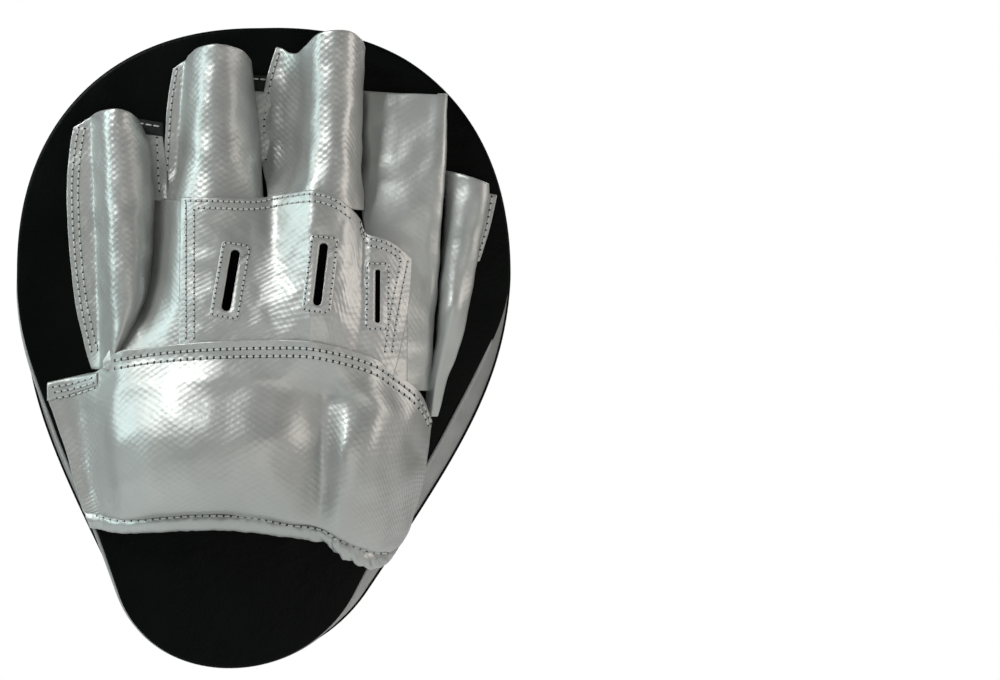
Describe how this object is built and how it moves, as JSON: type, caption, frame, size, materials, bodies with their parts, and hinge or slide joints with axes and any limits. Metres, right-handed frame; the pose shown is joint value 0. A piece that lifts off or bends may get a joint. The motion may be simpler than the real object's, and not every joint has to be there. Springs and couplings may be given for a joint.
{
  "type": "focus mitt",
  "caption": "Left-hand boxing focus mitt: padded black strike pad with a white target dot and a silver half glove with open finger stalls on the back.",
  "frame": {"origin": "middle of the pad on the outer face of its back panel, where the palm of the hand that holds the mitt bears", "axes": "+X to the thumb side, +Y out of the strike face, +Z towards the fingertips"},
  "size_m": [0.2041, 0.0921, 0.2657],
  "materials": {
    "silver_leather": "metallic silver synthetic leather, embossed with a fine slanted basket pattern, satin gloss",
    "black_leather": "smooth black synthetic leather, soft satin sheen",
    "black_lining": "black woven lining, matt, hemmed edges",
    "grey_foam": "closed-cell foam, matt",
    "white_vinyl": "off-white printed vinyl, matt",
    "backing_board": "stiff fibreboard, matt",
    "grey_piping": "light grey edge piping, satin"
  },
  "bodies": {
    "root": {"back_panel": "black_leather", "back_piping": "grey_piping", "backing_board": "backing_board", "core_foam": "grey_foam", "cuff_binding": "silver_leather", "cuff_cover": "silver_leather", "cuff_foam": "grey_foam", "cuff_lining": "black_lining", "cuff_side_tab": "silver_leather", "face_cover": "black_leather", "face_foam": "grey_foam", "hand_back_panel": "silver_leather", "hand_lining": "black_lining", "index_side_panel": "silver_leather", "knuckle_patch": "silver_leather", "palm_grip": "black_leather", "pinky_side_panel": "silver_leather", "side_gusset": "silver_leather", "target_dot": "white_vinyl", "thumb_side_panel": "silver_leather", "vent_frame_index": "silver_leather", "vent_frame_middle": "silver_leather", "vent_frame_ring": "silver_leather"},
    "pinky_stall": {"pinky_stall": "silver_leather", "pinky_stall_lining": "black_lining"},
    "ring_stall": {"ring_stall": "silver_leather", "ring_stall_lining": "black_lining"},
    "middle_stall": {"middle_stall": "silver_leather", "middle_stall_lining": "black_lining"},
    "index_stall": {"index_stall": "silver_leather", "index_stall_lining": "black_lining"},
    "thumb_stall": {"thumb_stall": "silver_leather", "thumb_stall_lining": "black_lining"}
  },
  "joints": [
    {"name": "pinky_stall_flex", "type": "hinge", "parent": "root", "child": "pinky_stall", "pos_m": [0, -0.0238, 0.041], "axis": [1, 0, 0], "range_deg": [0, 20], "stiffness_Nm_per_rad": 0.05},
    {"name": "ring_stall_flex", "type": "hinge", "parent": "root", "child": "ring_stall", "pos_m": [0, -0.0288, 0.0605], "axis": [1, 0, 0], "range_deg": [0, 20], "stiffness_Nm_per_rad": 0.05},
    {"name": "middle_stall_flex", "type": "hinge", "parent": "root", "child": "middle_stall", "pos_m": [0, -0.0298, 0.0605], "axis": [1, 0, 0], "range_deg": [0, 20], "stiffness_Nm_per_rad": 0.05},
    {"name": "index_stall_flex", "type": "hinge", "parent": "root", "child": "index_stall", "pos_m": [0, -0.0198, 0.0475], "axis": [1, 0, 0], "range_deg": [0, 20], "stiffness_Nm_per_rad": 0.05},
    {"name": "thumb_stall_flex", "type": "hinge", "parent": "root", "child": "thumb_stall", "pos_m": [0, -0.0173, 0.0145], "axis": [1, 0, 0], "range_deg": [0, 20], "stiffness_Nm_per_rad": 0.05}
  ]
}
